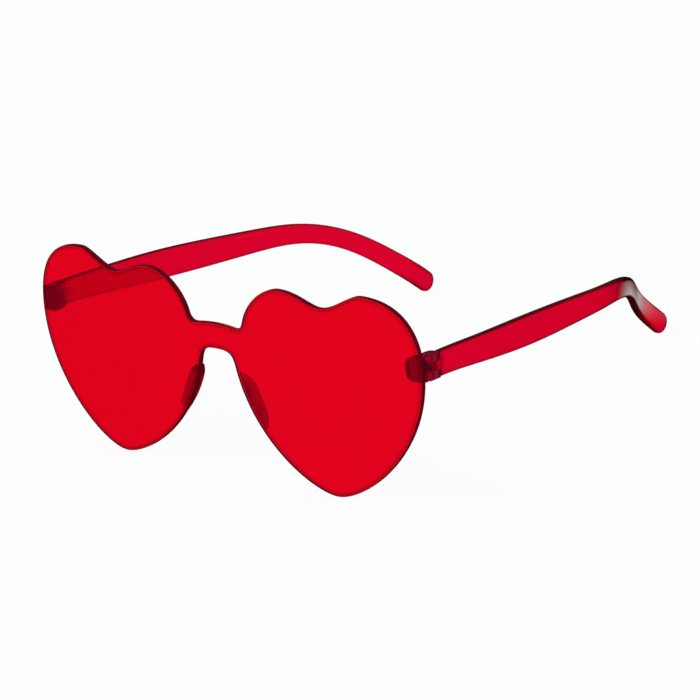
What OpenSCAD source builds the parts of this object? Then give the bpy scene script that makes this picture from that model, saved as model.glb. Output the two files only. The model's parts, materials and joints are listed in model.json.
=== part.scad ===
// Rimless sunglasses cut from one clear sheet with two heart shaped lenses.
// The wearer looks along -Y, +X is the wearer's left side and +Z is up.
// The glasses stand open on a table, on the two heart tips and the two ear tips.
// Every piece is drawn with the front upright, and settle() leans it to its rest.

/* [Front sheet] */
// Width over both hearts
front_w = 145; // [136:1:156]
// Height of a heart from its tip to its outer lobe
heart_h = 59.5; // [55:0.5:65]
// Thickness of the clear sheet
sheet_t = 2; // [1.6:0.1:2.4]
// Radius that the front is bent to, seen from above
wrap_r = 650; // [400:10:1200]
// Gap between the hearts just under the bridge
nose_gap = 13.4; // [12:0.2:18]
// Height of the bridge at its middle
bridge_h = 7.5; // [6:0.25:9]
// Rise of the bridge's arch above its ends
bridge_arch = 0.5; // [0.2:0.1:1]

/* [Temples] */
// Length of a temple along its bends
temple_len = 144; // [138:1:152]
// Thickness of a temple
temple_t = 2.4; // [2:0.1:3]
// Height of a temple where it meets the front
temple_h = 7.4; // [6:0.1:8]
// Height of a temple at its middle
temple_mid_h = 8.9; // [7.5:0.1:9.5]
// Height of a temple in the bend over the ear
temple_ear_h = 5.9; // [5.5:0.1:6.5]
// Height of a temple near its round end
temple_tip_h = 6.4; // [6:0.1:8]
// Radius of the long edges of a temple
temple_edge_r = 0.9; // [0.5:0.1:0.95]

/* [Temple bends] */
// Slope of the straight part, downwards
temple_slope = 3.2; // [0:0.2:5]
// Bend over the ear, downwards
ear_bend = 33.5; // [30:0.5:38]
// Length of the straight part before the ear bend
ear_start = 79.5; // [74:0.5:84]
// Length that the ear bend takes
ear_len = 47; // [40:1:50]
// Further downward turn of the last stretch
tip_drop = 2.5; // [0:0.5:6]
// Inward turn of the straight part towards the head
bow_in = 7.2; // [3:0.2:9]
// Length over which the straight part turns inward
bow_len = 60; // [50:1:80]
// Further inward turn over the ear
ear_turn = 25; // [10:1:26]
// Length of the temple before its turn over the ear
ear_turn_start = 70; // [62:1:76]
// Length that the turn over the ear takes
ear_turn_len = 44; // [36:1:50]
// Outward turn of the last stretch
tip_turn = 32; // [0:1:34]

/* [Hinges] */
// Depth of the hinge's axis behind the sheet, at the outer edge
block_depth = 4.3; // [3.6:0.1:6]
// Height of an end block
block_h = 7.4; // [6.8:0.1:8]
// Width of an end block across the sheet
block_w = 6.2; // [5.4:0.1:8]
// Radius of an end block's inner corners
block_round = 2.6; // [1:0.1:3.2]
// Outer radius of a hinge knuckle
knuckle_r = 1.7; // [1.6:0.05:2]
// Radius of the hinge screw's shank
screw_r = 0.7; // [0.6:0.05:0.8]
// Radius of the hinge screw's head
head_r = 1.2; // [1.1:0.05:1.25]
// Height of the hinge screw's head
head_h = 0.8; // [0.6:0.1:1.2]

/* [Nose pads] */
// Depth of a nose pad behind the sheet
pad_depth = 3.2; // [2.4:0.1:5]
// Width of a nose pad at its root on the sheet
pad_t = 3.8; // [2.4:0.1:4.6]
// Flare of a nose pad away from the nose at its top
pad_flare_top = 1; // [0:1:12]
// Flare of a nose pad away from the nose at its foot
pad_flare_foot = 8; // [0:1:20]

/* [Hidden] */

// Running gap round the hinge screw and its head
pin_gap = 0.05;
// Gap between the tongue and each knuckle along the screw
knuckle_gap = 0.12;
// Gap round a knuckle, and between the temple's end and the shoulders that stop it
side_gap = 0.15;
// Step from the knuckles down to the foot of the end block
foot_step = 0.15;
// Distance of a nose pad from the edge of its heart
pad_inset = 0.25;
// Radius of a nose pad's rounded rim
pad_rim_r = 0.55;
// Width of the slot in a screw head
slot_w = 0.4;
// Depth of the slot in a screw head
slot_depth = 0.3;
// Length that the tongue's gusset reaches along the temple
gusset_len = 5.5;
// Depth that the gusset and the webs run into their neighbours
root_bite = 0.6;
// Run over which the temple takes up its slope
slope_run = 12;
// Reach of every cutting body past the face that it cuts
overrun = 1;

// Fineness of the bent sheet and of the small round parts
wrap_fn = 720;
round_fn = 96;
// Spacing of the points on the front's outline, and the fewest in one stretch
edge_pitch = 2;
edge_steps = 4;
// Rings along a temple before its round end, and on that end
temple_rings = 30;
tip_rings = 5;
// Rings along a nose pad, and steps round a knuckle of the end block
pad_rings = 15;
knuckle_steps = 12;
// Points on one corner of a temple's section
corner_points = 3;
// Angle round the temple's end at which its last ring lies
tip_arc = 84;
// Thinning of a temple at its very end, and the most that its corners round a side
tip_thin_share = 0.45;
edge_share = 0.8;

clear_red = [0.86, 0.02, 0.09, 0.8];
steel = [0.62, 0.6, 0.58];

// Places in the heart as shares of its width and height, from the bridge outwards
// and from the tip upwards, then the heading of the outline in degrees from +X,
// then the reach of its curve before and after the place, as shares of the height.
nose_knot_shares = [0, 0.555, -77, 0.057, 0.385];
tip_knot_shares = [0.518, 0, 0, 0.128, 0.16];
side_knot_shares = [1, 0.66, 90, 0.385, 0.245];
outer_lobe_knot_shares = [0.705, 1, 180, 0.185, 0.055];
cleft_knot_shares = [0.494, 0.915, 180, 0.068, 0.066];
inner_lobe_knot_shares = [0.27, 0.973, 180, 0.115, 0.075];
brow_knot_shares = [0.056, 0.776, 254, 0.13, 0.02];
// Height of the bridge's middle and of the hinge's middle, in heart heights
bridge_mid_share = 0.689;
hinge_mid_share = 0.681;
// Reach of the bridge's curves beside its middle, in half gaps
bridge_reach_share = 0.72;
// Stretch of the heart's inner edge that carries a nose pad
pad_start_share = 0.03;
pad_end_share = 0.32;
// Where on the swell of its own depth a nose pad begins and ends, and how full the swell is
pad_swell_shares = [0.2, 0.975];
pad_fullness = 0.6;
// Width of a pad at its thin ends, and where its rim lies across it
pad_thin_share = 0.7;
pad_rim_share = 0.33;
// Bulge of a pad's two sides between root and rim
pad_near_share = 0.3;
pad_far_share = 0.35;

heart_w = (front_w - nose_gap) / 2;
bridge_reach = bridge_reach_share * nose_gap / 2;
bridge_mid = bridge_mid_share * heart_h;
hinge_z = hinge_mid_share * heart_h;
outer_x = front_w / 2;
hinge_x = outer_x - knuckle_r;
hinge_y = sheet_back(outer_x) + block_depth;
knuckle_h = (block_h - 2 * knuckle_gap) / 3;
seat_r = knuckle_r + side_gap;
block_back = hinge_y - seat_r;
block_low = hinge_z - block_h / 2;
block_high = hinge_z + block_h / 2;
tip_r = temple_tip_h / 2;

function ease(u) = let (v = min(max(u, 0), 1)) v * v * (3 - 2 * v);
function mix(a, b, u) = a + (b - a) * u;

// Front and back faces of the bent sheet
function sheet_front(x) = wrap_r - sqrt(wrap_r * wrap_r - x * x);
function sheet_back(x) = wrap_r - sqrt((wrap_r - sheet_t) * (wrap_r - sheet_t) - x * x);

// A knot of the outline: its place, heading, and reach before and after
function heart_knot(shares) = [
    [nose_gap / 2 + shares[0] * heart_w, shares[1] * heart_h],
    shares[2],
    shares[3] * heart_h,
    shares[4] * heart_h
];
function reach(knot, length) = knot[0] + length * [cos(knot[1]), sin(knot[1])];
function bezier(a, b, c, d, t) =
    pow(1 - t, 3) * a + 3 * pow(1 - t, 2) * t * b + 3 * (1 - t) * t * t * c + pow(t, 3) * d;
function stretch(from, to, t) =
    bezier(from[0], reach(from, from[3]), reach(to, -to[2]), to[0], t);

bridge_under = [[0, bridge_mid - bridge_h / 2], 0, bridge_reach, bridge_reach];
bridge_top = [[0, bridge_mid + bridge_h / 2], 180, bridge_reach / 2, bridge_reach / 2];
// The bridge's top edge falls by its arch towards each heart
bridge_shoulder = [
    bridge_top[0] + [nose_gap / 2, -bridge_arch],
    180 - atan2(2 * bridge_arch, nose_gap / 2),
    bridge_reach / 2,
    bridge_reach / 2
];
nose_knot = heart_knot(nose_knot_shares);
tip_knot = heart_knot(tip_knot_shares);
half_knots = [
    bridge_under,
    nose_knot,
    tip_knot,
    heart_knot(side_knot_shares),
    heart_knot(outer_lobe_knot_shares),
    heart_knot(cleft_knot_shares),
    heart_knot(inner_lobe_knot_shares),
    heart_knot(brow_knot_shares),
    bridge_shoulder,
    bridge_top
];
function stretch_steps(from, to) = max(edge_steps, ceil(norm(to[0] - from[0]) / edge_pitch));
// One half of the outline, from under the bridge round the heart to its top
half_outline = concat(
    [for (i = [0 : len(half_knots) - 2])
        let (from = half_knots[i], to = half_knots[i + 1], steps = stretch_steps(from, to))
            for (k = [0 : steps - 1]) stretch(from, to, k / steps)],
    [bridge_top[0]]
);
front_outline = concat(
    half_outline,
    [for (i = [len(half_outline) - 2 : -1 : 1]) [-half_outline[i].x, half_outline[i].y]]
);

// Headings of a temple at a length along it
function temple_pitch(s) =
    temple_slope * ease(s / slope_run)
    + ear_bend * ease((s - ear_start) / ear_len)
    + tip_drop * ease((s - ear_start - ear_len) / (temple_len - ear_start - ear_len));
function temple_yaw(s) =
    bow_in * ease(s / bow_len)
    + ear_turn * ease((s - ear_turn_start) / ear_turn_len)
    - tip_turn * ease((s - ear_turn_start - ear_turn_len) / (temple_len - ear_turn_start - ear_turn_len));
function heading(s) = let (p = temple_pitch(s), y = temple_yaw(s))
    [-sin(y) * cos(p), cos(y) * cos(p), -sin(p)];
function side_of(s) = let (y = temple_yaw(s)) [cos(y), sin(y), 0];
function up_of(s) = let (p = temple_pitch(s), y = temple_yaw(s))
    [-sin(y) * sin(p), cos(y) * sin(p), cos(p)];

// Lengths along a temple at which it has a ring
straight_len = temple_len - tip_r;
ring_places = concat(
    [for (i = [0 : temple_rings]) straight_len * i / temple_rings],
    [for (i = [1 : tip_rings]) straight_len + tip_r * sin(tip_arc * i / tip_rings)]
);
temple_start = [outer_x - temple_t / 2, hinge_y + seat_r, hinge_z];
ring_centres = [
    for (i = 0, p = temple_start; i < len(ring_places); i = i + 1,
        p = i < len(ring_places)
            ? p + heading((ring_places[i] + ring_places[i - 1]) / 2)
                * (ring_places[i] - ring_places[i - 1])
            : p) p
];

// Height of a temple along it: even, then waisted over the ear, then full to a round end
function temple_height(s) =
    let (
        to_mid = mix(temple_h, temple_mid_h, ease(s / (ear_start / 2))),
        ear_mid = ear_start + ear_len / 2,
        to_ear = mix(to_mid, temple_ear_h, ease((s - ear_start / 2) / (ear_mid - ear_start / 2))),
        to_tip = mix(to_ear, temple_tip_h, ease((s - ear_mid) / (straight_len - ear_mid))),
        past = max(s - straight_len, 0) / tip_r
    ) to_tip * sqrt(1 - past * past);
function temple_thickness(s) =
    let (past = max(s - straight_len, 0) / tip_r) temple_t * (1 - tip_thin_share * past * past);

// A temple's section is a rectangle with round corners
function temple_ring(i) =
    let (
        s = ring_places[i],
        h = temple_height(s) / 2,
        t = temple_thickness(s) / 2,
        r = min(temple_edge_r, edge_share * h, edge_share * t)
    ) [
        for (corner = [0 : 3]) for (k = [0 : corner_points - 1])
            let (
                a = 90 * corner + 90 * k / (corner_points - 1),
                sx = (corner == 0 || corner == 3) ? 1 : -1,
                sz = corner < 2 ? 1 : -1
            )
            ring_centres[i]
                + (sx * (t - r) + r * cos(a)) * side_of(s)
                + (sz * (h - r) + r * sin(a)) * up_of(s)
    ];
temple_skin = [for (i = [0 : len(ring_places) - 1]) for (p = temple_ring(i)) p];

// Lean of the resting glasses: the line from a heart tip's back edge to the ear tip
tip_foot = [sheet_back(tip_knot[0].x), 0];
rest_lean = min([for (p = temple_skin) if (p.y > tip_foot.x + temple_len / 2)
    atan2(p.z - tip_foot.y, p.y - tip_foot.x)]);
function lean_y(y, z) = y * cos(rest_lean) + z * sin(rest_lean);
function lean_z(y, z) = z * cos(rest_lean) - y * sin(rest_lean);
rest_front = min([for (p = front_outline) lean_y(sheet_front(p.x), p.y)]);
rest_back = max([for (p = temple_skin) lean_y(p.y, p.z)]);
rest_floor = min([for (p = front_outline) lean_z(sheet_back(p.x), p.y)]);

// Leans a piece back to its rest and puts the origin under the middle of the glasses
module settle() {
    translate([0, -(rest_front + rest_back) / 2, -rest_floor])
        rotate([-rest_lean, 0, 0])
            children();
}

module on_side(side) {
    mirror([side < 0 ? 1 : 0, 0, 0])
        children();
}

// Solid through rings of points, with flat ends
module loft(points, ring_size) {
    rings = len(points) / ring_size;
    sides = [
        for (i = [0 : rings - 2]) for (k = [0 : ring_size - 1])
            let (
                a = i * ring_size + k,
                b = i * ring_size + (k + 1) % ring_size,
                c = a + ring_size,
                d = b + ring_size
            )
            each [[a, b, d], [a, d, c]]
    ];
    first = [for (k = [ring_size - 1 : -1 : 0]) k];
    last = [for (k = [0 : ring_size - 1]) (rings - 1) * ring_size + k];
    polyhedron(points, concat([first], sides, [last]));
}

// Upright prism over an outline drawn in X and Z, from y = 0 backwards
module across(depth) {
    translate([0, depth, 0])
        rotate([90, 0, 0])
            linear_extrude(depth)
                children();
}

// Everything behind one face of the bent sheet
module behind_sheet(radius) {
    translate([0, wrap_r, -overrun])
        cylinder(h = heart_h + 2 * overrun, r = radius, $fn = wrap_fn);
}

module front_lens() {
    color(clear_red)
        settle()
            intersection() {
                across(sheet_back(outer_x) + overrun)
                    polygon(front_outline);
                difference() {
                    behind_sheet(wrap_r);
                    behind_sheet(wrap_r - sheet_t);
                }
            }
}

// A pad's ring at a share of its length: root on the sheet, sides leaning to a round rim
function pad_ring(u) =
    let (
        t = mix(pad_start_share, pad_end_share, u),
        p = stretch(nose_knot, tip_knot, t),
        along = stretch(nose_knot, tip_knot, t + pad_start_share) - p,
        n = [-along.y, along.x] / norm(along),
        swell = sin(180 * mix(pad_swell_shares[0], pad_swell_shares[1], u)),
        full = pow(swell, pad_fullness),
        deep = pad_depth * full,
        near = pad_inset,
        far = pad_inset + pad_t * mix(pad_thin_share, 1, full),
        mid = mix(near, far, pad_rim_share) + deep * tan(mix(pad_flare_top, pad_flare_foot, u)),
        rim = min(pad_rim_r, (far - near) / 4, deep / 3),
        profile = [
            [near, 0],
            [mix(near, mid - rim, pad_near_share), deep / 2],
            [mid - rim, deep - rim],
            [mid, deep],
            [mid + rim, deep - rim],
            [mix(far, mid + rim, pad_far_share), deep / 2],
            [far, 0]
        ]
    ) [for (q = profile) let (x = p.x + n.x * q.x) [x, sheet_back(x) + q.y, p.y + n.y * q.x]];

module nose_pad(side) {
    rings = [for (i = [0 : pad_rings - 1]) pad_ring(i / (pad_rings - 1))];
    color(clear_red)
        settle()
            on_side(side)
                loft([for (ring = rings) for (p = ring) p], len(rings[0]));
}

module knuckle(radius, low, height) {
    translate([hinge_x, hinge_y, low])
        cylinder(h = height, r = radius, $fn = round_fn);
}

// Knuckle of the block, round on the inside and square on the outside, where it stops
// the open temple
module block_knuckle(low) {
    translate([hinge_x, hinge_y, low])
        linear_extrude(knuckle_h)
            polygon(concat(
                [
                    [-knuckle_r, -seat_r - root_bite],
                    [knuckle_r, -seat_r - root_bite],
                    [knuckle_r, knuckle_r]
                ],
                [for (k = [0 : knuckle_steps])
                    let (a = 90 + 90 * k / knuckle_steps) knuckle_r * [cos(a), sin(a)]]
            ));
}

// Foot bonded to the sheet, round at its inner end and a little smaller than the knuckles
module block_foot() {
    inner_x = outer_x - block_w;
    end_x = outer_x - foot_step;
    low = block_low + foot_step;
    height = block_h - 2 * foot_step;
    intersection() {
        translate([0, 0, low])
            linear_extrude(height)
                polygon([
                    [inner_x, sheet_back(inner_x)],
                    [end_x, sheet_back(end_x)],
                    [end_x, block_back],
                    [inner_x, block_back]
                ]);
        union() {
            for (z = [low + block_round, low + height - block_round])
                translate([inner_x + block_round, block_back, z])
                    rotate([90, 0, 0])
                        cylinder(h = block_back, r = block_round, $fn = round_fn);
            translate([inner_x, 0, low + block_round])
                cube([block_round, block_back, height - 2 * block_round]);
            translate([inner_x + block_round, 0, low])
                cube([block_w - block_round, block_back, height]);
        }
    }
}

module end_block(side) {
    color(clear_red)
        settle()
            on_side(side)
                difference() {
                    union() {
                        block_foot();
                        block_knuckle(block_low);
                        block_knuckle(block_high - knuckle_h);
                    }
                    // Hole for the screw, and the sink for its head
                    knuckle(screw_r + pin_gap, block_low - overrun, block_h + 2 * overrun);
                    knuckle(head_r + pin_gap, block_high - head_h, head_h + overrun);
                }
}

// Middle knuckle of the hinge, with a gusset that runs into the temple
module tongue() {
    low = hinge_z - knuckle_h / 2;
    inner = knuckle_r - side_gap;
    knuckle(knuckle_r, low, knuckle_h);
    translate([hinge_x, hinge_y, low])
        linear_extrude(knuckle_h)
            polygon([
                [inner, 0],
                [inner, gusset_len],
                [knuckle_r - temple_t, gusset_len],
                [-inner, seat_r],
                [-inner, 0]
            ]);
}

module temple(side) {
    color(clear_red)
        settle()
            on_side(side)
                difference() {
                    union() {
                        loft(temple_skin, 4 * corner_points);
                        tongue();
                    }
                    knuckle(screw_r + pin_gap, block_low, block_h);
                }
}

module hinge_screw(side) {
    color(steel)
        settle()
            on_side(side)
                difference() {
                    union() {
                        knuckle(screw_r, block_low, block_h);
                        knuckle(head_r, block_high - head_h, head_h);
                    }
                    translate([hinge_x - head_r - overrun, hinge_y - slot_w / 2, block_high - slot_depth])
                        cube([2 * (head_r + overrun), slot_w, slot_depth + overrun]);
                }
}

// Left is the wearer's left, at +X
front_lens();
nose_pad(1);  // nose_pad_left
nose_pad(-1);  // nose_pad_right
end_block(1);  // end_block_left
end_block(-1);  // end_block_right
temple(1);  // temple_left
temple(-1);  // temple_right
hinge_screw(1);  // hinge_screw_left
hinge_screw(-1);  // hinge_screw_right
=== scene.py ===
# %% [markdown]
# # Heart shaped sunglasses in clear red plastic
# The glasses are cut from one clear red sheet: two hearts and a bridge, with no rim. Moulded pads and
# hinge blocks are bonded to its back, and two moulded temples turn on small steel screws. This lesson
# dresses the imported model. Every piece is rebuilt with a fine, smooth mesh in the model's own place, and
# the clear red is made as the real one is: colour in the depth of the plastic, so that edges go dark. On top
# of that, painted shade in the surface colour makes edges, hinges and pads darker.

# %% Load the imported model
import json
import math

import bmesh
import bpy
from mathutils import Matrix, Vector
from mathutils.geometry import interpolate_bezier
from mathutils.kdtree import KDTree


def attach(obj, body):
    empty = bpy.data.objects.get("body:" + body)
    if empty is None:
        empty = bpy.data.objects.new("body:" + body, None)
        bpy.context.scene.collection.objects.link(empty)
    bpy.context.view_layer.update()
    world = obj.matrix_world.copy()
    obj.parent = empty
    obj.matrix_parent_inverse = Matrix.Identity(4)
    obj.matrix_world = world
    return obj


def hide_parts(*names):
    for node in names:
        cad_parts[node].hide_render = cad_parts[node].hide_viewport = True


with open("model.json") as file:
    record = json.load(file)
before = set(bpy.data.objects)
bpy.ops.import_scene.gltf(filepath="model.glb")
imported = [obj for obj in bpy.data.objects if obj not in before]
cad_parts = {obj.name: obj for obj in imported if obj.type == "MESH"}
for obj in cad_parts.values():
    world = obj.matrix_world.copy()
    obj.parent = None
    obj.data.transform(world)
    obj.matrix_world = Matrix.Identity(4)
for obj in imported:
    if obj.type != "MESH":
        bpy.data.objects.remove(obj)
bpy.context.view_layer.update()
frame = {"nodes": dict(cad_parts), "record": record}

print("nodes:", ", ".join(sorted(frame["nodes"])))

# %% [markdown]
# ## Sizes
# The solids were drawn in millimetres with the front upright, and then leaned back to stand on the table.
# The same sizes and the same upright space are used here, so that every curve can be made finer than it is
# in the solids. One matrix takes a point from that space to the table. It is worked out from a hinge,
# whose place in both spaces is known.

# %% Sizes of the front, in millimetres, and the bend of its two faces
FRONT_W = 145.0
HEART_H = 59.5
SHEET_T = 2.0
WRAP_R = 650.0
NOSE_GAP = 13.4
HEART_W = (FRONT_W - NOSE_GAP) / 2
OUTER_X = FRONT_W / 2


def sheet_front(x):
    return WRAP_R - math.sqrt(WRAP_R ** 2 - x ** 2)


def sheet_back(x):
    return WRAP_R - math.sqrt((WRAP_R - SHEET_T) ** 2 - x ** 2)


print("the front's sides stand back by %.2f mm" % sheet_front(OUTER_X))

# %% The hinge's axis
HINGE_DEPTH = 4.3
HINGE_UP_SHARE = 0.681
KNUCKLE_R = 1.7

hinge = Vector((OUTER_X - KNUCKLE_R, sheet_back(OUTER_X) + HINGE_DEPTH, HINGE_UP_SHARE * HEART_H))
print("hinge, upright:", [round(size, 2) for size in hinge])

# %% From the upright space in millimetres to the table in metres
MM = 0.001

fold = frame["record"]["behaviour"]["joints"][0]
lean = math.atan2(fold["axis"][1], fold["axis"][2])
lean_back = Matrix.Rotation(-lean, 4, "X")
TO_TABLE = (
    Matrix.Translation(Vector(fold["pos_m"]) - lean_back @ (hinge * MM))
    @ lean_back
    @ Matrix.Scale(MM, 4)
)
print("lean: %.2f degrees" % math.degrees(lean))

# %% [markdown]
# ## Camera
# The glasses were photographed from their left front and a little above, with a long lens, and the picture
# is a little tilted. A camera could be placed by eye, but hearts and temples show each wrong degree. So
# this one was fitted to the outlines of both hearts and of both temples.

# %% Camera at the photograph's angle
EYE = Vector((827.713, -888.168, 457.768)) * MM
AZIMUTH, ELEVATION, TILT = 43.5227, 20.1046, -7.0827
LENS = 227.247
NEAREST_SEEN = 0.05

azimuth, elevation = math.radians(AZIMUTH), math.radians(ELEVATION)
towards_eye = Vector((
    math.sin(azimuth) * math.cos(elevation),
    -math.cos(azimuth) * math.cos(elevation),
    math.sin(elevation),
))
camera = bpy.data.objects.new("camera", bpy.data.cameras.new("camera"))
camera.data.lens = LENS
camera.data.clip_start = NEAREST_SEEN
camera.rotation_mode = "QUATERNION"
camera.location = EYE
camera.rotation_quaternion = (
    Matrix.Rotation(math.radians(TILT), 3, towards_eye)
    @ (-towards_eye).to_track_quat("-Z", "Y").to_matrix()
).to_quaternion()
bpy.context.scene.collection.objects.link(camera)
bpy.context.scene.camera = camera
print("camera is %.2f m from the glasses" % EYE.length)

# %% [markdown]
# ## From a mesh to a piece
# Each mesh becomes an object that rides on a body and stands in for a node of the imported model, which
# it hides. Corners sharper than a given angle stay crisp, and all others are shaded smooth. The faces of a
# clear piece must all look outwards, because inside out it would mirror the light that it should let
# through. The volume tells: it comes out below zero when the faces look inwards.

# %% A mesh becomes a piece of the glasses
CREASE = 35
SHEET_CREASE = 60


def piece_of(bm, name, body, node, crease=CREASE):
    bmesh.ops.recalc_face_normals(bm, faces=bm.faces)
    if bm.calc_volume(signed=True) < 0:
        bmesh.ops.reverse_faces(bm, faces=bm.faces)
    mesh = bpy.data.meshes.new(name)
    bm.to_mesh(mesh)
    bm.free()
    mesh.shade_smooth()
    mesh.set_sharp_from_angle(angle=math.radians(crease))
    piece = bpy.data.objects.new(name, mesh)
    bpy.context.scene.collection.objects.link(piece)
    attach(piece, body)
    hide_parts(node)
    print(name + ":", len(mesh.vertices), "points")
    return piece


print("crisp from %d degrees, and on the sheet from %d" % (CREASE, SHEET_CREASE))

# %% [markdown]
# ## Outline of the front
# The real outline is one smooth sawn line. Tracing it point by point would leave small dents, which clear
# plastic shows at once. So it is a chain of smooth curves through a few knots. A knot has a place, a
# heading in degrees, and how far the curve holds that heading before and after it. Half of the front is
# drawn and the rest is mirrored.

# %% Knots of the bridge
BRIDGE_H = 7.5
BRIDGE_ARCH = 0.5
BRIDGE_UP_SHARE = 0.689
BRIDGE_REACH_SHARE = 0.72

bridge_mid = BRIDGE_UP_SHARE * HEART_H
bridge_reach = BRIDGE_REACH_SHARE * NOSE_GAP / 2
bridge_fall = math.degrees(math.atan2(2 * BRIDGE_ARCH, NOSE_GAP / 2))
shoulder = Vector((NOSE_GAP / 2, bridge_mid + BRIDGE_H / 2 - BRIDGE_ARCH))
under_knot = (Vector((0, bridge_mid - BRIDGE_H / 2)), 0, bridge_reach, bridge_reach)
shoulder_knot = (shoulder, 180 - bridge_fall, bridge_reach / 2, bridge_reach / 2)
top_knot = (Vector((0, bridge_mid + BRIDGE_H / 2)), 180, bridge_reach / 2, bridge_reach / 2)
print("the bridge falls by %.1f degrees to each heart" % bridge_fall)

# %% Knots of a heart, from the nose round its tip and its outer side to the bridge
# Each row has the place across and up, the heading, and the reach before and after it
HEART_KNOT_SHARES = (
    (0, 0.555, -77, 0.057, 0.385),
    (0.518, 0, 0, 0.128, 0.16),
    (1, 0.66, 90, 0.385, 0.245),
    (0.705, 1, 180, 0.185, 0.055),
    (0.494, 0.915, 180, 0.068, 0.066),
    (0.27, 0.973, 180, 0.115, 0.075),
    (0.056, 0.776, 254, 0.13, 0.02),
)


def heart_knot(across, up, heading, before, after):
    place = Vector((NOSE_GAP / 2 + across * HEART_W, up * HEART_H))
    return place, heading, before * HEART_H, after * HEART_H


heart_knots = [heart_knot(*row) for row in HEART_KNOT_SHARES]
nose_knot, tip_knot = heart_knots[:2]
half_knots = [under_knot] + heart_knots + [shoulder_knot, top_knot]
print("knots of one half:", len(half_knots))


# %% The four points that steer a curve from one knot to the next
def beyond(knot, length):
    heading = math.radians(knot[1])
    return knot[0] + length * Vector((math.cos(heading), math.sin(heading)))


def steering(start, end):
    return [start[0], beyond(start, start[3]), beyond(end, -end[2]), end[0]]


print("points that steer each curve:", len(steering(nose_knot, tip_knot)))

# %% The whole outline, coarse for the mesh and fine for measuring
MESH_PITCH = 0.7
FINE_PITCH = 0.03
LEAST_STEPS = 8


def whole_outline(pitch):
    half = []
    for start, end in zip(half_knots, half_knots[1:]):
        steps = max(LEAST_STEPS, round((end[0] - start[0]).length / pitch))
        curve = interpolate_bezier(*steering(start, end), steps + 1)
        half += [Vector(point[:2]) for point in curve[:-1]]
    half.append(half_knots[-1][0].copy())
    return half + [Vector((-point.x, point.y)) for point in reversed(half[1:-1])]


outline = whole_outline(MESH_PITCH)
fine_outline = whole_outline(FINE_PITCH)
print("outline:", len(outline), "points, and", len(fine_outline), "for measuring")

# %% [markdown]
# ## The front sheet
# The real front is sawn from flat sheet, polished and bent a little. Its faces must be even, because
# clear plastic shows each dent. A solid cut by another would leave long thin faces. So the face is first
# one flat polygon, it is cut into upright strips, and each strip takes its place on the bend. A narrow
# border keeps the shading of the big faces even, and carries painted shade: a surface colour that goes
# darker towards the edge.
# The sawn edge is a wall between both faces, with small round corners.


# %% Directions that point out of a closed outline, one for each of its points
def outward(points):
    count = len(points)
    turn = sum(points[k - 1].cross(points[k]) for k in range(count))
    way = 1 if turn > 0 else -1
    ways = []
    for k in range(count):
        along = (points[(k + 1) % count] - points[k - 1]).normalized()
        ways.append(way * Vector((along.y, -along.x)))
    return ways


ways_out = outward(outline)
print("under the bridge, out is", [round(size, 2) for size in ways_out[0]])

# %% The flat face, inside the border, cut into upright strips
CORNER_R = 0.6
EDGE_BAND = 0.9
STRIP_W = 2.5
CUT_REACH = 1e-4


def flat_strips(points):
    flat = bmesh.new()
    flat.faces.new([flat.verts.new((point.x, 0, point.y)) for point in points])
    for k in range(math.ceil(-OUTER_X / STRIP_W), math.ceil(OUTER_X / STRIP_W)):
        everything = flat.verts[:] + flat.edges[:] + flat.faces[:]
        bmesh.ops.bisect_plane(
            flat, geom=everything, dist=CUT_REACH, plane_co=(k * STRIP_W, 0, 0), plane_no=(1, 0, 0)
        )
    return flat


inset = CORNER_R + EDGE_BAND
flat = flat_strips([point - inset * way for point, way in zip(outline, ways_out)])
print("faces in strips:", len(flat.faces))


# %% The points of its border, in order
def border(flat):
    first = next(edge for edge in flat.edges if edge.is_boundary)
    loop = list(first.verts)
    while True:
        here, last = loop[-1], loop[-2]
        ways = [edge.other_vert(here) for edge in here.link_edges if edge.is_boundary]
        following = next(vert for vert in ways if vert is not last)
        if following is loop[0]:
            return loop
        loop.append(following)


rim = border(flat)
print("points on the border:", len(rim))

# %% Both bent faces
sheet = bmesh.new()
painted_shade_layer = sheet.verts.layers.float.new("edge")
front_of = {
    vert: sheet.verts.new((vert.co.x, sheet_front(vert.co.x), vert.co.z)) for vert in flat.verts
}
back_of = {
    vert: sheet.verts.new((vert.co.x, sheet_back(vert.co.x), vert.co.z)) for vert in flat.verts
}
for face in flat.faces:
    sheet.faces.new([front_of[vert] for vert in face.verts])
    sheet.faces.new([back_of[vert] for vert in reversed(face.verts)])
print("faces, front and back:", len(sheet.faces))

# %% Where each point of the border reaches the sawn outline
rim_places = [Vector((vert.co.x, vert.co.z)) for vert in rim]
tree = KDTree(len(fine_outline))
for k, point in enumerate(fine_outline):
    tree.insert(point.to_3d(), k)
tree.balance()
rim_goals = [tree.find(place.to_3d())[0].to_2d() for place in rim_places]
reaches = [(goal - place).length for place, goal in zip(rim_places, rim_goals)]
print("from border to outline: %.2f to %.2f mm" % (min(reaches), max(reaches)))

# %% The border's rings: over the band, round the corner and down the wall
CORNER_STEPS = 6
BAND_RINGS = 4
WALL_PALE_SHARE = 0.8


def smooth_step(share):
    held = min(max(share, 0.0), 1.0)
    return held * held * (3 - 2 * held)


def edge_ring(out, deep, face_y, way):
    """A ring that lies a given way out from the border, and a given depth into the sheet."""
    ring = []
    for place, goal in zip(rim_places, rim_goals):
        point = place.lerp(goal, out / inset)
        ring.append(sheet.verts.new((point.x, face_y(point.x) + way * deep, point.y)))
        # Painted shade: darker across the band towards the edge, and a little paler down the wall
        ring[-1][painted_shade_layer] = smooth_step(out / EDGE_BAND) * (1 - WALL_PALE_SHARE * deep / CORNER_R)
    return ring


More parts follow.
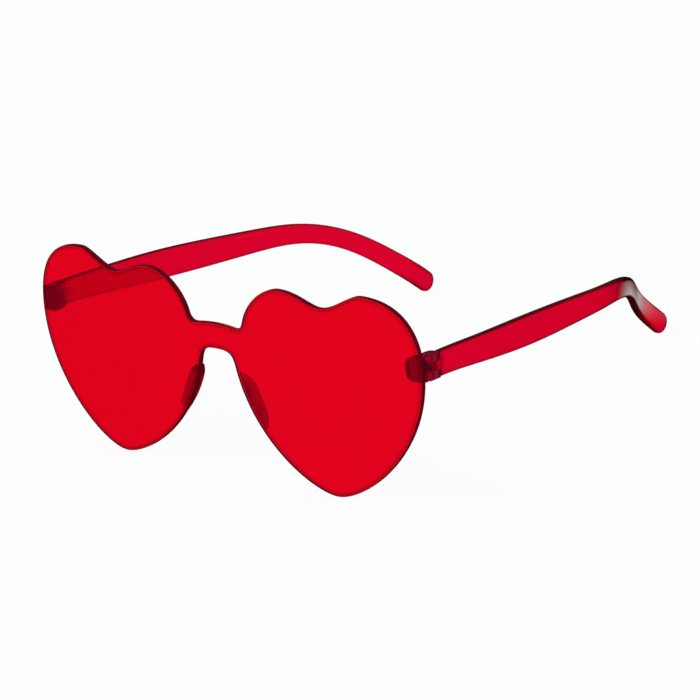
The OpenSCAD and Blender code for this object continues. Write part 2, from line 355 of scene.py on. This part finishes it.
edge_profile = [(EDGE_BAND * k / BAND_RINGS, 0) for k in range(1, BAND_RINGS)]
for k in range(CORNER_STEPS + 1):
    turn = math.radians(90 * k / CORNER_STEPS)
    edge_profile.append((EDGE_BAND + CORNER_R * math.sin(turn), CORNER_R * (1 - math.cos(turn))))
front_rings = [edge_ring(out, deep, sheet_front, 1) for out, deep in edge_profile]
back_rings = [edge_ring(out, deep, sheet_back, -1) for out, deep in reversed(edge_profile)]
print("rings round the edge:", len(front_rings) + len(back_rings))


# %% Faces from ring to ring, and the finished sheet
def skin(bm, rings):
    for near, far in zip(rings, rings[1:]):
        for k in range(len(near)):
            following = (k + 1) % len(near)
            bm.faces.new((near[k], near[following], far[following], far[k]))


front_rim = [front_of[vert] for vert in rim]
back_rim = [back_of[vert] for vert in rim]
skin(sheet, [front_rim] + front_rings + back_rings + [back_rim])
sheet.transform(TO_TABLE)
flat.free()
front_piece = piece_of(sheet, "front_sheet", "front", "front_lens", SHEET_CREASE)

# %% [markdown]
# ## The temples
# A temple is moulded: straight along the head, then bent down and in over the ear, with a full round end.
# Its section is a flat bar with round edges. A straight bar could be bent afterwards, but its ends would
# leave their places. So a line is walked in small steps, with two headings that change smoothly along its
# length, one down and one inwards, and the line carries the section.

# %% Bends of a temple, in millimetres along it and in degrees
TEMPLE_LEN = 144.0
SLOPE, SLOPE_RUN = 3.2, 12.0
EAR_BEND, EAR_START, EAR_LEN = 33.5, 79.5, 47.0
TIP_DROP = 2.5
BOW_IN, BOW_LEN = 7.2, 60.0
EAR_TURN, TURN_START, TURN_LEN = 25.0, 70.0, 44.0
TIP_TURN = 32.0


def temple_pitch(length):
    straight = SLOPE * smooth_step(length / SLOPE_RUN)
    bent = EAR_BEND * smooth_step((length - EAR_START) / EAR_LEN)
    past = length - EAR_START - EAR_LEN
    dropped = TIP_DROP * smooth_step(past / (TEMPLE_LEN - EAR_START - EAR_LEN))
    return math.radians(straight + bent + dropped)


def temple_yaw(length):
    bowed = BOW_IN * smooth_step(length / BOW_LEN)
    turned = EAR_TURN * smooth_step((length - TURN_START) / TURN_LEN)
    past = length - TURN_START - TURN_LEN
    back = TIP_TURN * smooth_step(past / (TEMPLE_LEN - TURN_START - TURN_LEN))
    return math.radians(bowed + turned - back)


print("at its tip a temple heads %.1f degrees down" % math.degrees(temple_pitch(TEMPLE_LEN)))


# %% Directions along, across and up a temple
def temple_axes(length):
    pitch, yaw = temple_pitch(length), temple_yaw(length)
    along = Vector((-math.sin(yaw) * math.cos(pitch), math.cos(yaw) * math.cos(pitch), -math.sin(pitch)))
    across = Vector((math.cos(yaw), math.sin(yaw), 0))
    up = Vector((-math.sin(yaw) * math.sin(pitch), math.cos(yaw) * math.sin(pitch), math.cos(pitch)))
    return along, across, up


print("over the ear it heads", [round(part, 2) for part in temple_axes(EAR_START + EAR_LEN / 2)[0]])

# %% Height and thickness along a temple
TEMPLE_T = 2.4
START_H, MID_H, EAR_H, TIP_H = 7.4, 8.9, 5.9, 6.4
STRAIGHT_LEN = TEMPLE_LEN - TIP_H / 2
TIP_THIN_SHARE = 0.45


def blend(start, end, share):
    return start + (end - start) * share


def past_end(length):
    return max(length - STRAIGHT_LEN, 0) / (TIP_H / 2)


def temple_height(length):
    ear_mid = EAR_START + EAR_LEN / 2
    height = blend(START_H, MID_H, smooth_step(length / (EAR_START / 2)))
    height = blend(height, EAR_H, smooth_step((length - EAR_START / 2) / (ear_mid - EAR_START / 2)))
    height = blend(height, TIP_H, smooth_step((length - ear_mid) / (STRAIGHT_LEN - ear_mid)))
    return height * math.sqrt(1 - past_end(length) ** 2)


def temple_thickness(length):
    return TEMPLE_T * (1 - TIP_THIN_SHARE * past_end(length) ** 2)


print("height over the ear: %.2f mm" % temple_height(EAR_START + EAR_LEN / 2))

# %% A section: round corners, and three points on each flat side so that it shades evenly
TEMPLE_EDGE_R = 0.9
SECTION_STEPS = 5
CORNER_LIMIT_SHARE = 0.8
FLAT_SHARES = (0.12, 0.5, 0.88)
CORNER_SIDES = ((1, 1), (-1, 1), (-1, -1), (1, -1))


def section(height, thickness):
    half_h, half_t = height / 2, thickness / 2
    round_r = min(TEMPLE_EDGE_R, CORNER_LIMIT_SHARE * half_h, CORNER_LIMIT_SHARE * half_t)
    corners = []
    for quarter, (side, way) in enumerate(CORNER_SIDES):
        middle_x, middle_y = side * (half_t - round_r), way * (half_h - round_r)
        turns = [math.radians(90 * (quarter + k / SECTION_STEPS)) for k in range(SECTION_STEPS + 1)]
        corners.append([
            Vector((middle_x + round_r * math.cos(turn), middle_y + round_r * math.sin(turn)))
            for turn in turns
        ])
    points = []
    for k, corner in enumerate(corners):
        points += corner
        points += [corner[-1].lerp(corners[(k + 1) % 4][0], share) for share in FLAT_SHARES]
    return points


print("points round a section:", len(section(START_H, TEMPLE_T)))

# %% Where along a temple its rings stand: close together in its round start and its round tip
RING_PITCH = 1.2
START_R = 0.3
START_RINGS = 3
TIP_RINGS = 9
LAST_TURN = 88

round_start = [START_R * (1 - math.cos(math.radians(90 * k / START_RINGS))) for k in range(START_RINGS)]
steps = round((STRAIGHT_LEN - START_R) / RING_PITCH)
straight = [blend(START_R, STRAIGHT_LEN, k / steps) for k in range(steps + 1)]
tip_turns = [math.radians(LAST_TURN * k / TIP_RINGS) for k in range(1, TIP_RINGS + 1)]
round_tip = [STRAIGHT_LEN + TIP_H / 2 * math.sin(turn) for turn in tip_turns]
ring_lengths = round_start + straight + round_tip
print("rings of a temple:", len(ring_lengths))

# %% How much painted shade a point takes: all at the edges and the tip, most at the start
TEMPLE_BAND = 0.9
TIP_BAND = 1.7
TIP_FROM, TIP_FADE = 126.0, 12.0
START_BAND = 2.5
START_PAINTED_SHADE_SHARE = 0.8


# Painted shade: a darker surface colour along the top and bottom edges, round the tip, and at the start by
# the hinge
def temple_painted_shade(length, up):
    band = blend(TEMPLE_BAND, TIP_BAND, smooth_step((length - TIP_FROM) / TIP_FADE))
    near_side = (abs(up) - temple_height(length) / 2 + band) / band
    near_tip = (length - TEMPLE_LEN + band) / band
    near_start = START_PAINTED_SHADE_SHARE * (1 - length / START_BAND)
    return smooth_step(max(near_side, near_tip, near_start))


print("darker tint in mid temple: %.2f" % temple_painted_shade(TEMPLE_LEN / 2, 0))

# %% The walk along a temple
SIDE_GAP = 0.15

temple_rings = []
temple_painted_shades = []
centre = Vector((OUTER_X - TEMPLE_T / 2, hinge.y + KNUCKLE_R + SIDE_GAP, hinge.z))
last = 0.0
for length in ring_lengths:
    centre = centre + temple_axes((length + last) / 2)[0] * (length - last)
    last = length
    shrink = START_R - math.sqrt(START_R ** 2 - max(START_R - length, 0) ** 2)
    _, across, up = temple_axes(length)
    points = section(temple_height(length) - 2 * shrink, temple_thickness(length) - 2 * shrink)
    temple_rings.append([centre + point.x * across + point.y * up for point in points])
    temple_painted_shades.append([temple_painted_shade(length, point.y) for point in points])
print("tip of the left temple, upright:", [round(size, 1) for size in centre])


# %% A closed solid from rings, with a flat face at each end and a painted shade value at each point
def loft(rings, painted_shades):
    bm = bmesh.new()
    layer = bm.verts.layers.float.new("edge")
    loops = [[bm.verts.new(point) for point in ring] for ring in rings]
    for loop, values in zip(loops, painted_shades):
        for vert, value in zip(loop, values):
            vert[layer] = value
    skin(bm, loops)
    bm.faces.new(loops[0])
    bm.faces.new(loops[-1])
    bmesh.ops.recalc_face_normals(bm, faces=bm.faces)
    return bm


bare_temple = loft(temple_rings, temple_painted_shades)
print("a temple without its hinge: %.0f cubic mm" % bare_temple.calc_volume())

# %% [markdown]
# ## Hinge parts of a temple
# A tongue with a round knuckle stands out from the temple between the two knuckles of the block. It is
# moulded in one with the temple, and the hole for the screw is cut through. Faces that only push through
# each other would show inside clear plastic. So both are done with exact solid cuts, as in the packed
# model. The tongue takes a little painted shade in its surface colour.

# %% Plain solids about the hinge
KNUCKLE_GAP = 0.12
BLOCK_H = 7.4
KNUCKLE_H = (BLOCK_H - 2 * KNUCKLE_GAP) / 3
SCREW_HOLE_R = 0.75
GUSSET_LEN = 5.5
TONGUE_PAINTED_SHADE_SHARE = 0.3
CIRCLE_POINTS = 64


def upright_prism(plan, low, height):
    """Solid over a plan that is given from the hinge's axis."""
    rings = [[hinge + Vector((x, y, z)) for x, y in plan] for z in (low, low + height)]
    return loft(rings, [[TONGUE_PAINTED_SHADE_SHARE] * len(plan)] * 2)


def circle(radius):
    turns = [2 * math.pi * k / CIRCLE_POINTS for k in range(CIRCLE_POINTS)]
    return [(radius * math.cos(turn), radius * math.sin(turn)) for turn in turns]


inner = KNUCKLE_R - SIDE_GAP
seat = KNUCKLE_R + SIDE_GAP
gusset_plan = [
    (inner, 0), (inner, GUSSET_LEN), (KNUCKLE_R - TEMPLE_T, GUSSET_LEN), (-inner, seat), (-inner, 0)
]
print("each of the three knuckles is %.2f mm high" % KNUCKLE_H)


# %% Exact joins and cuts, and both temples
def combined(base, tool, operation):
    things = []
    for bm in (base, tool):
        mesh = bpy.data.meshes.new("work")
        bm.to_mesh(mesh)
        bm.free()
        things.append(bpy.data.objects.new("work", mesh))
        bpy.context.scene.collection.objects.link(things[-1])
    step = things[0].modifiers.new("step", "BOOLEAN")
    step.operation = operation
    step.solver = "EXACT"
    step.object = things[1]
    result = bmesh.new()
    result.from_object(things[0], bpy.context.evaluated_depsgraph_get())
    for thing in things:
        bpy.data.objects.remove(thing)
    return result


def temple_piece(side, name):
    temple = bare_temple.copy()
    for plan in (circle(KNUCKLE_R), gusset_plan):
        temple = combined(temple, upright_prism(plan, -KNUCKLE_H / 2, KNUCKLE_H), "UNION")
    temple = combined(temple, upright_prism(circle(SCREW_HOLE_R), -BLOCK_H, 2 * BLOCK_H), "DIFFERENCE")
    temple.transform(TO_TABLE @ Matrix.Scale(side, 4, (1, 0, 0)))
    return piece_of(temple, name + "_moulding", name, name)


temple_pieces = [temple_piece(1, "temple_left"), temple_piece(-1, "temple_right")]
bare_temple.free()

# %% [markdown]
# ## Nose pads
# A pad is a low moulded ridge along the heart's inner edge, with a soft rounded crest where it meets the
# nose. Through the sheet it shows as the shape of a leaf. A stretched ball would be too full at its ends,
# so a pad is made of rings too, each across the curve of the heart's edge. A thin film of air is left
# between the pad and the sheet, so that each stays a clear body of its own.

# %% Rounding a profile: a curve that passes through all of its marks
SPAN_STEPS = 4


def eased(profile):
    marks = [Vector(mark) for mark in profile]
    around = [marks[0]] + marks + [marks[-1]]
    points = []
    for before, start, end, after in zip(around, around[1:], around[2:], around[3:]):
        leave, arrive = start + (end - before) / 6, end - (after - start) / 6
        points += interpolate_bezier(start, leave, arrive, end, SPAN_STEPS + 1)[:-1]
    points.append(marks[-1])
    return [(point[0], point[1]) for point in points]


print("points from three marks:", len(eased([(0, 0), (1, 1), (2, 0)])))

# %% The section of a pad at a share of its length, across and back from the heart's edge
PAD_DEPTH = 3.2
PAD_T = 3.8
PAD_INSET = 0.25
PAD_RIM_R = 0.55
PAD_END_SHARE = 0.3
PAD_NARROW_SHARE = 0.7
SWELL_START_SHARE, SWELL_END_SHARE = 0.2, 0.975
SWELL_POWER = 0.6
CREST_SHARE = 0.33
CREST_LEAN_START, CREST_LEAN_END = 1, 8
NEAR_FLANK_SHARE, FAR_FLANK_SHARE = 0.3, 0.35
BASE_SHARES = (0.2, 0.4, 0.6, 0.8)
FILM = 0.03


def pad_section(share):
    """Its points, its near and far sides and its depth."""
    end = math.sqrt(1 - max(1 - min(share, 1 - share) / PAD_END_SHARE, 0) ** 2)
    full = math.sin(math.pi * blend(SWELL_START_SHARE, SWELL_END_SHARE, share)) ** SWELL_POWER
    deep = PAD_DEPTH * full * end
    near, far = PAD_INSET, PAD_INSET + PAD_T * blend(PAD_NARROW_SHARE, 1, full) * end
    crest_lean = math.radians(blend(CREST_LEAN_START, CREST_LEAN_END, share))
    crest = blend(near, far, CREST_SHARE) + deep * math.tan(crest_lean)
    rim_r = min(PAD_RIM_R, (far - near) / 4, deep / 3)
    over = [
        (near, FILM),
        (blend(near, crest - rim_r, NEAR_FLANK_SHARE), deep / 2), (crest - rim_r, deep - rim_r),
        (crest, deep),
        (crest + rim_r, deep - rim_r), (blend(far, crest + rim_r, FAR_FLANK_SHARE), deep / 2),
        (far, FILM),
    ]
    under = [(blend(far, near, base_share), FILM) for base_share in BASE_SHARES]
    return eased(over) + under, near, far, deep


print("a pad is %.2f mm deep half way along" % pad_section(0.5)[3])

# %% A ring of a pad at a share of its length, and how much painted shade each point takes
PAD_START_SHARE, PAD_LAST_SHARE = 0.03, 0.32
PAD_FADE_SHARE = 0.2
HEADING_STEP_SHARE = 0.03


def curve_at(start, end, share):
    points = steering(start, end)
    while len(points) > 1:
        points = [point.lerp(following, share) for point, following in zip(points, points[1:])]
    return points[0]


def pad_ring(share):
    along_edge = blend(PAD_START_SHARE, PAD_LAST_SHARE, share)
    place = curve_at(nose_knot, tip_knot, along_edge)
    along = curve_at(nose_knot, tip_knot, along_edge + HEADING_STEP_SHARE) - place
    inwards = Vector((-along.y, along.x)).normalized()
    fade = smooth_step(min(share, 1 - share) / PAD_FADE_SHARE)
    points, near, far, deep = pad_section(share)
    ring = []
    painted_shades = []
    for across, back in points:
        x = place.x + inwards.x * across
        ring.append(Vector((x, sheet_back(x) + back, place.y + inwards.y * across)))
        across_share = (across - near) / (far - near)
        # Painted shade: darkest along the heart's edge and against the sheet, fading across the pad and at
        # its ends
        painted_shades.append(fade * (1 - across_share ** 2) * (1 - back / deep))
    return ring, painted_shades


print("points round a pad:", len(pad_ring(0.5)[0]))

# %% Both pads, with their rings close together at the soft ends
PAD_RINGS = 44
END_GAP_SHARE = 0.4


def pad_piece(side, name):
    shares = [(k + END_GAP_SHARE) / (PAD_RINGS - 1 + 2 * END_GAP_SHARE) for k in range(PAD_RINGS)]
    rings, painted_shades = zip(*[pad_ring((1 - math.cos(math.pi * share)) / 2) for share in shares])
    pad = loft(rings, painted_shades)
    pad.transform(TO_TABLE @ Matrix.Scale(side, 4, (1, 0, 0)))
    return piece_of(pad, name + "_moulding", "front", name)


pad_pieces = [pad_piece(1, "nose_pad_left"), pad_piece(-1, "nose_pad_right")]

# %% [markdown]
# ## Hinge blocks and screws
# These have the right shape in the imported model, but each edge is perfectly sharp, and real mouldings and
# turned screws have small round edges that catch the light. Drawing them again would only repeat the
# model. So a copy of the solid's mesh is cleaned of the lines inside its flat faces, it is kept off the
# sheet by the same film of air as the pads, and its hard edges are rounded.

# %% A copy of a solid with rounded edges
MERGE_REACH = 1e-6
FLAT_ANGLE = 1
HARD_ANGLE = 40
ROUND_STEPS = 3
ROUND_SHARE = 0.5


def softened(node, name, radius):
    solid = frame["nodes"][node]
    bm = bmesh.new()
    bm.from_mesh(solid.data)
    bm.transform(solid.matrix_world)
    bmesh.ops.remove_doubles(bm, verts=bm.verts, dist=MERGE_REACH)
    bmesh.ops.dissolve_limit(
        bm, angle_limit=math.radians(FLAT_ANGLE), verts=bm.verts, edges=bm.edges
    )
    for vert in bm.verts:
        point = TO_TABLE.inverted() @ vert.co
        point.y = max(point.y, sheet_back(point.x) + FILM)
        vert.co = TO_TABLE @ point
    hard = [edge for edge in bm.edges if edge.calc_face_angle(0) > math.radians(HARD_ANGLE)]
    bmesh.ops.bevel(
        bm, geom=hard, offset=radius * MM, segments=ROUND_STEPS, profile=ROUND_SHARE,
        affect="EDGES", clamp_overlap=True,
    )
    return piece_of(bm, name, "front", node)


print("edges of more than %d degrees are rounded" % HARD_ANGLE)

# %% Both blocks and both screws
BLOCK_EDGE_R = 0.12
SCREW_EDGE_R = 0.05

block_pieces = []
screw_pieces = []
for side in ("left", "right"):
    block = "end_block_" + side
    screw = "hinge_screw_" + side
    block_pieces.append(softened(block, block + "_moulding", BLOCK_EDGE_R))
    screw_pieces.append(softened(screw, screw + "_turned", SCREW_EDGE_R))

# %% [markdown]
# ## Shader sums
# A material is a small formula. Wiring it node by node would hide the formula. This class lets the outputs
# of nodes be used in ordinary sums: a sum on values adds a Math node, and every other node comes from one
# method.


# %% An output of a node, ready for sums
class Wire:
    def __init__(self, owner, socket):
        self.owner = owner
        self.socket = socket

    def maths(self, operation, first, second):
        return self.owner.add("ShaderNodeMath", {"operation": operation}, {0: first, 1: second})

    def __add__(self, other):
        return self.maths("ADD", self, other)

    def __sub__(self, other):
        return self.maths("SUBTRACT", self, other)

    def __rsub__(self, other):
        return self.maths("SUBTRACT", other, self)

    def __mul__(self, other):
        return self.maths("MULTIPLY", self, other)

    __radd__ = __add__
    __rmul__ = __mul__

    def or_larger(self, other):
        return self.maths("MAXIMUM", self, other)


print("sums for node outputs: + - * and the larger of two")


# %% The nodes of one material, or of the world
def opaque(colour):
    return (*colour, 1)


class Finish:
    def __init__(self, name, owner=None):
        self.owner = owner or bpy.data.materials.new(name)
        self.owner.use_nodes = True
        self.tree = self.owner.node_tree
        self.tree.nodes.clear()
        print("finish:", name)

    def add(self, kind, settings=None, inputs=None, output=0):
        node = self.tree.nodes.new(kind)
        for key, value in (settings or {}).items():
            setattr(node, key, value)
        for key, value in (inputs or {}).items():
            if isinstance(value, Wire):
                self.tree.links.new(value.socket, node.inputs[key])
            else:
                node.inputs[key].default_value = value
        return Wire(self, node.outputs[output]) if node.outputs else node

    def mix(self, factor, first, second):
        return self.add("ShaderNodeMix", {"data_type": "RGBA"}, {0: factor, 6: first, 7: second}, 2)

    def mix_shaders(self, factor, first, second):
        return self.add("ShaderNodeMixShader", {}, {0: factor, 1: first, 2: second})

    def place(self):
        return self.add("ShaderNodeTexCoord", output="Object")

    def distance(self, first, second):
        settings = {"operation": "DISTANCE"}
        return self.add("ShaderNodeVectorMath", settings, {0: first, 1: second}, "Value")

    def noise(self, scale, detail, stretch=(1, 1, 1)):
        where = self.add("ShaderNodeVectorMath", {"operation": "MULTIPLY"}, {0: self.place(), 1: stretch})
        return self.add("ShaderNodeTexNoise", {}, {"Vector": where, "Scale": scale, "Detail": detail}, "Fac")

    def step(self, value, low, high):
        settings = {"interpolation_type": "SMOOTHSTEP"}
        return self.add("ShaderNodeMapRange", settings, {0: value, 1: low, 2: high}, "Result")

    def finish(self, surface, volume=None):
        inputs = {"Surface": surface}
        if volume:
            inputs["Volume"] = volume
        self.add("ShaderNodeOutputMaterial", {}, inputs)


print("a colour on a socket has a fourth part:", opaque((1, 1, 1)))

# %% [markdown]
# ## Clear red
# The plastic lets red through and stops nearly all green and blue. Part of its colour is soaked up on the
# light's way through, so that a long way, as along a sawn edge or down through a temple, goes to a dark
# maroon. Thin pieces would be too pale by that alone. So part of the colour is a tint that the surface
# gives, and on it lies painted shade: it goes darker towards the edges, near the hinges, and on a temple
# where it is seen at a flat angle. The tint is a little uneven, and the polish has faint wipe marks.

# %% Where the painted shade lies
NEAR_HINGE = (0.0695, 0.0655, 0.04)
HINGE_DARK_R, HINGE_PALE_R = 0.0034, 0.0056
FLAT_FROM_SHARE, FLAT_TO_SHARE = 0.5, 0.75


def stored_painted_shade(nodes):
    return nodes.add("ShaderNodeAttribute", {"attribute_name": "edge"}, output="Fac")


def hinge_painted_shade(nodes):
    """Both hinges have the same place once its signs are dropped."""
    unsigned = nodes.add("ShaderNodeVectorMath", {"operation": "ABSOLUTE"}, {0: nodes.place()})
    # Painted shade: the surface colour goes dark within a few millimetres of each hinge
    return 1 - nodes.step(nodes.distance(unsigned, NEAR_HINGE), HINGE_DARK_R, HINGE_PALE_R)


def flat_angle_painted_shade(nodes):
    # Painted shade by the angle of view: a temple seen at a flat angle gets a darker surface colour
    slant = nodes.add("ShaderNodeLayerWeight", output="Facing")
    return nodes.step(slant, FLAT_FROM_SHARE, FLAT_TO_SHARE)


print("darker within %.1f mm of a hinge" % (HINGE_PALE_R / MM))

# %% The clear red finish
CLOUD_SCALE, CLOUD_DETAIL = 90, 3.0
CLOUD_SHARE = 0.03
WIPE_SCALE, WIPE_DETAIL = 240, 2.0
WIPE_STRETCH = (1, 1, 0.15)
WIPE_DEPTH = 0.03
PLASTIC_IOR = 1.49


def uneven(nodes, tint):
    paler = [min(part * (1 + CLOUD_SHARE), 1) for part in tint]
    deeper = [part * (1 - CLOUD_SHARE) for part in tint]
    return nodes.mix(nodes.noise(CLOUD_SCALE, CLOUD_DETAIL), opaque(deeper), opaque(paler))


def clear_red(name, tint, painted_shade_colour, painted_shade_where, soak, density, polish, haze, flat_angle_shade_colour=None):
    nodes = Finish(name)
    # The base colour turns to the painted shade where the mask says, and on temples also at flat angles of
    # view
    base = nodes.mix(painted_shade_where(nodes), uneven(nodes, tint), opaque(painted_shade_colour))
    if flat_angle_shade_colour:
        base = nodes.mix(flat_angle_painted_shade(nodes), base, opaque(flat_angle_shade_colour))
    surface = nodes.add("ShaderNodeBsdfPrincipled", {}, {
        "Base Color": base,
        "Roughness": polish + WIPE_DEPTH * nodes.noise(WIPE_SCALE, WIPE_DETAIL, WIPE_STRETCH),
        "IOR": PLASTIC_IOR,
        "Transmission Weight": 1.0 - haze,
    })
    volume = nodes.add("ShaderNodeVolumeAbsorption", {}, {"Color": opaque(soak), "Density": density})
    nodes.finish(surface, volume)
    return nodes.owner


print("the plastic bends light by", PLASTIC_IOR)

# %% The four clear reds
# The darker second colour of each finish, and the temples' colour for flat angles, are painted shade
sheet_red = clear_red(
    "clear red sheet", tint=(0.93, 0.003, 0.14), painted_shade_colour=(0.48, 0.008, 0.1), painted_shade_where=stored_painted_shade,
    soak=(0.966, 0.614, 0.018), density=1400, polish=0.01, haze=0.07,
)
temple_red = clear_red(
    "clear red temples", tint=(0.95, 0.004, 0.17), painted_shade_colour=(0.36, 0.006, 0.07), painted_shade_where=stored_painted_shade,
    soak=(0.92, 0.1, 0.12), density=1000, polish=0.02, haze=0.1, flat_angle_shade_colour=(0.14, 0.003, 0.04),
)
block_red = clear_red(
    "clear red blocks", tint=(0.95, 0.03, 0.2), painted_shade_colour=(0.38, 0.01, 0.11), painted_shade_where=hinge_painted_shade,
    soak=(0.91, 0.5, 0.55), density=2200, polish=0.04, haze=0.1,
)
pad_red = clear_red(
    "clear red pads", tint=(0.94, 0.01, 0.14), painted_shade_colour=(0.09, 0.002, 0.01), painted_shade_where=stored_painted_shade,
    soak=(0.9, 0.4, 0.5), density=1100, polish=0.03, haze=0.1,
)

# %% [markdown]
# ## Steel
# The screws are turned from steel wire. On so small a head the marks of the tool are too fine to be seen
# one by one. So they are a fine grain, which makes the tone and the polish a little uneven.

# %% The steel finish
GRAIN_SCALE, GRAIN_DETAIL = 9000, 2.0
STEEL_DARK = (0.5, 0.48, 0.46)
STEEL_BRIGHT = (0.7, 0.68, 0.66)
STEEL_POLISH = 0.22
GRAIN_DEPTH = 0.2


def turned_steel():
    nodes = Finish("turned steel")
    grain = nodes.noise(GRAIN_SCALE, GRAIN_DETAIL)
    nodes.finish(nodes.add("ShaderNodeBsdfPrincipled", {}, {
        "Base Color": nodes.mix(grain, opaque(STEEL_DARK), opaque(STEEL_BRIGHT)),
        "Metallic": 1.0,
        "Roughness": STEEL_POLISH + GRAIN_DEPTH * grain,
    }))
    return nodes.owner


steel = turned_steel()

# %% Each piece gets its finish
for pieces, material in (
    ([front_piece], sheet_red),
    (pad_pieces, pad_red),
    (temple_pieces, temple_red),
    (block_pieces, block_red),
    (screw_pieces, steel),
):
    for piece in pieces:
        piece.data.materials.clear()
        piece.data.materials.append(material)
    print(material.name + ":", ", ".join(piece.name for piece in pieces))

# %% [markdown]
# ## Stage and light
# The photograph has a plain white ground, and more light would bleach the glasses before it made the ground
# white. So the floor is a pale matt plane, and what the camera sees of it, directly or through the plastic,
# is mostly plain white, with a little of the lit floor mixed in, which keeps a soft shadow. The photographed
# plastic mirrors none of that white but on one bend of a temple. So rays that are mirrored see a dark room,
# with one round bright patch of floor behind the glasses. The world is done the same way.


# %% Kinds of rays
def ray_kind(nodes, kind):
    return nodes.add("ShaderNodeLightPath", output="Is %s Ray" % kind)


def mirrored(nodes):
    """1 for rays that were mirrored last. A ray through clear plastic counts as glossy too."""
    return ray_kind(nodes, "Glossy") * (1 - ray_kind(nodes, "Transmission"))


def seen_directly(nodes):
    """1 for rays that come straight from the camera or through clear plastic, and 0 for all others."""
    return ray_kind(nodes, "Camera").or_larger(ray_kind(nodes, "Transmission"))


print("rays: mirrored, seen directly, and all others, which light the glasses")

# %% The floor's finish
FLOOR_GREY = (0.85, 0.85, 0.85)
WHITE = (1, 1, 1)
BLACK = (0, 0, 0)
WHITE_SHARE = 0.95
PATCH_PLACE = (0.047, 0.098, 0)
PATCH_BRIGHT_R, PATCH_DARK_R = 0.005, 0.026


def floor_finish():
    nodes = Finish("matt white floor")
    matt = nodes.add("ShaderNodeBsdfDiffuse", {}, {"Color": opaque(FLOOR_GREY)})
    white = nodes.add("ShaderNodeEmission", {}, {"Color": opaque(WHITE), "Strength": 1.0})
    dark = nodes.add("ShaderNodeEmission", {}, {"Color": opaque(BLACK), "Strength": 0.0})
    patch = 1 - nodes.step(nodes.distance(nodes.place(), PATCH_PLACE), PATCH_BRIGHT_R, PATCH_DARK_R)
    glossy = mirrored(nodes)
    bright = nodes.mix_shaders(seen_directly(nodes) * WHITE_SHARE + glossy * patch, matt, white)
    nodes.finish(nodes.mix_shaders(glossy * (1 - patch), bright, dark))
    return nodes.owner


print("bright patch: %.0f mm wide, with a soft border" % (2 * PATCH_DARK_R / MM))

# %% The floor
FLOOR_R = 6.0
FLOOR_POINTS = 96

ground = bmesh.new()
bmesh.ops.create_circle(ground, cap_ends=True, segments=FLOOR_POINTS, radius=FLOOR_R)
ground_mesh = bpy.data.meshes.new("floor")
ground.to_mesh(ground_mesh)
ground.free()
floor = bpy.data.objects.new("floor", ground_mesh)
bpy.context.scene.collection.objects.link(floor)
floor.data.materials.append(floor_finish())

# %% The world
AMBIENT = 0.55
DARK_SHARE = 0.95

world = bpy.data.worlds.new("studio")
bpy.context.scene.world = world
nodes = Finish("studio", world)
ambient = nodes.add("ShaderNodeBackground", {}, {"Color": opaque(WHITE), "Strength": AMBIENT})
white = nodes.add("ShaderNodeBackground", {}, {"Color": opaque(WHITE), "Strength": 1.0})
dark = nodes.add("ShaderNodeBackground", {}, {"Color": opaque(BLACK), "Strength": 0.0})
plain = nodes.mix_shaders(seen_directly(nodes), ambient, white)
studio = nodes.mix_shaders(mirrored(nodes) * DARK_SHARE, plain, dark)
nodes.add("ShaderNodeOutputWorld", {}, {"Surface": studio})

# %% Two soft lamps, which aren't mirrored either
# Each row has a name, a place and a width in metres, and a power in watts
LAMPS = (
    ("key", (-1.1, -0.9, 1.4), 1.2, 18),
    ("fill", (1.3, 0.5, 1.2), 1.0, 8),
)

for name, place, size, power in LAMPS:
    lamp = bpy.data.objects.new(name, bpy.data.lights.new(name, "AREA"))
    lamp.data.shape = "DISK"
    lamp.data.size = size
    lamp.data.energy = power
    lamp.location = place
    lamp.visible_glossy = False
    lamp.rotation_euler = (-Vector(place)).to_track_quat("-Z", "Y").to_euler()
    bpy.context.scene.collection.objects.link(lamp)
    print(name, "lamp:", power, "watts")
bpy.context.scene.view_settings.view_transform = "Standard"
